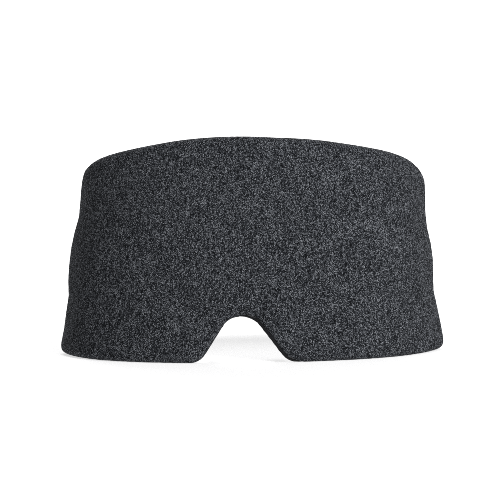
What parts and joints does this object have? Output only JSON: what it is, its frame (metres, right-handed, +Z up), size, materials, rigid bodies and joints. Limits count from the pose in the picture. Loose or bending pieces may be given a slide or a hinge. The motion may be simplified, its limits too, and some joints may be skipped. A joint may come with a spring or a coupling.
{
  "type": "sleep mask",
  "caption": "Padded wrap-around sleep eye mask with a nose notch, hollowed eye cushions, hinged nose flaps and a wide elastic band with a hook-and-loop closure.",
  "frame": {"origin": "on the surface the mask stands on, at the middle of its width and depth", "axes": "+X to the right of someone who looks at the front of the mask, +Y from the front of the mask to the back of the head, +Z up"},
  "size_m": [0.1754, 0.1608, 0.1032],
  "materials": {
    "heather_knit": "soft brushed heather knit",
    "lining_cloth": "smooth black jersey",
    "foam": "open-cell foam",
    "film": "matt opaque film",
    "wire": "dull rolled strip",
    "cup": "moulded fabric-faced foam",
    "elastic": "ribbed woven elastic",
    "loop_pile": "brushed loop pile",
    "tab_cloth": "plain woven tape",
    "hooks": "moulded hooks",
    "grip": "soft matt moulding",
    "thread": "polyester thread",
    "label_cloth": "satin tape"
  },
  "bodies": {
    "mask": {"front_cover": "heather_knit", "edge_seam": "thread", "blackout_film": "film", "foam_core": "foam", "nose_wire": "wire", "inner_lining": "lining_cloth", "care_label": "label_cloth", "left_eye_cup": "cup", "left_eye_ring": "lining_cloth", "right_eye_cup": "cup", "right_eye_ring": "lining_cloth"},
    "left_strap": {"left_strap_sleeve": "heather_knit", "left_elastic_band": "elastic", "left_strap_stitching": "thread"},
    "right_strap": {"right_strap_sleeve": "heather_knit", "right_elastic_band": "elastic", "right_strap_stitching": "thread", "loop_pile_strip": "loop_pile"},
    "hook_tab": {"closure_tab": "tab_cloth", "hook_patch": "hooks", "closure_tab_stitching": "thread", "pull_tip": "grip"},
    "left_nose_flap": {"left_nose_flap": "lining_cloth"},
    "right_nose_flap": {"right_nose_flap": "lining_cloth"}
  },
  "joints": [
    {"name": "left_strap_swing", "type": "hinge", "parent": "mask", "child": "left_strap", "pos_m": [-0.0765, -0.0155, 0.05], "axis": [0, 0, 1], "range_deg": [0, 75]},
    {"name": "right_strap_swing", "type": "hinge", "parent": "mask", "child": "right_strap", "pos_m": [0.0765, -0.0155, 0.05], "axis": [0, 0, 1], "range_deg": [-37.5, 0]},
    {"name": "hook_tab_peel", "type": "hinge", "parent": "left_strap", "child": "hook_tab", "pos_m": [-0.02889, 0.07453, 0.05], "axis": [0, 0, 1], "range_deg": [0, 110]},
    {"name": "left_nose_flap_flex", "type": "hinge", "parent": "mask", "child": "left_nose_flap", "pos_m": [-0.0134, -0.06911, 0.01135], "axis": [-0.5678, 0, -0.8231], "range_deg": [-20, 30], "stiffness_Nm_per_rad": 0.0008},
    {"name": "right_nose_flap_flex", "type": "hinge", "parent": "mask", "child": "right_nose_flap", "pos_m": [0.0134, -0.06911, 0.01135], "axis": [0.5678, 0, -0.8231], "range_deg": [-30, 20], "stiffness_Nm_per_rad": 0.0008}
  ],
  "couplings": [
    {"joint": "right_strap_swing", "follows": "left_strap_swing", "ratio": -0.5}
  ]
}
